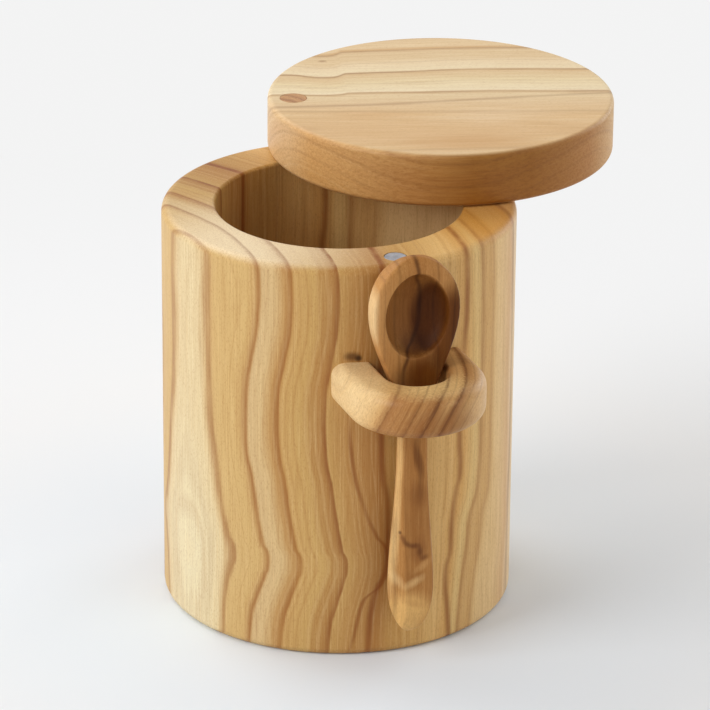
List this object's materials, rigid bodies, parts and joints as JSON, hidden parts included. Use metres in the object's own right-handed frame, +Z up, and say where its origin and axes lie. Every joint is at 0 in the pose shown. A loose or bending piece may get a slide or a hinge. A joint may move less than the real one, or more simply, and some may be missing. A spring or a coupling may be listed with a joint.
{
  "type": "salt box with swivelling lid and spoon",
  "caption": "Round wooden salt box with a thick lid that swivels on a vertical pin at the rim, a magnet to close it, and a small spoon hanging in a loop on the front wall.",
  "frame": {"origin": "centre of the flat base, on the body's axis", "axes": "+Z up along the body's axis, -Y towards the spoon and its loop, so the lid's pivot is at the +Y side and the lid stands open towards +X"},
  "size_m": [0.146, 0.1641, 0.1363],
  "materials": {
    "body_wood": "satin oiled olive wood, brown grain running up the wall",
    "lid_wood": "satin oiled olive wood, grain running across the disc",
    "dowel_wood": "satin darker end grain",
    "loop_wood": "satin oiled olive wood, slanting brown stripes",
    "peg_wood": "plain, hidden",
    "spoon_wood": "satin oiled olive wood, dark heart line down the middle",
    "magnet_metal": "matt grey plating"
  },
  "bodies": {
    "base": {"body": "body_wood", "rim_magnet": "magnet_metal", "spoon_loop": "loop_wood", "loop_pegs": "peg_wood"},
    "lid": {"lid": "lid_wood", "pivot_dowel": "dowel_wood", "lid_magnet": "magnet_metal"},
    "spoon": {"spoon": "spoon_wood"}
  },
  "joints": [
    {"name": "lid_swivel", "type": "hinge", "parent": "base", "child": "lid", "pos_m": [0.0019, 0.04356, 0.12], "axis": [0, 0, 1], "range_deg": [-77.5, 102.5]},
    {"name": "spoon_lift", "type": "slide", "parent": "base", "child": "spoon", "axis": [0, 0, 1], "range_m": [0, 0.09]}
  ]
}
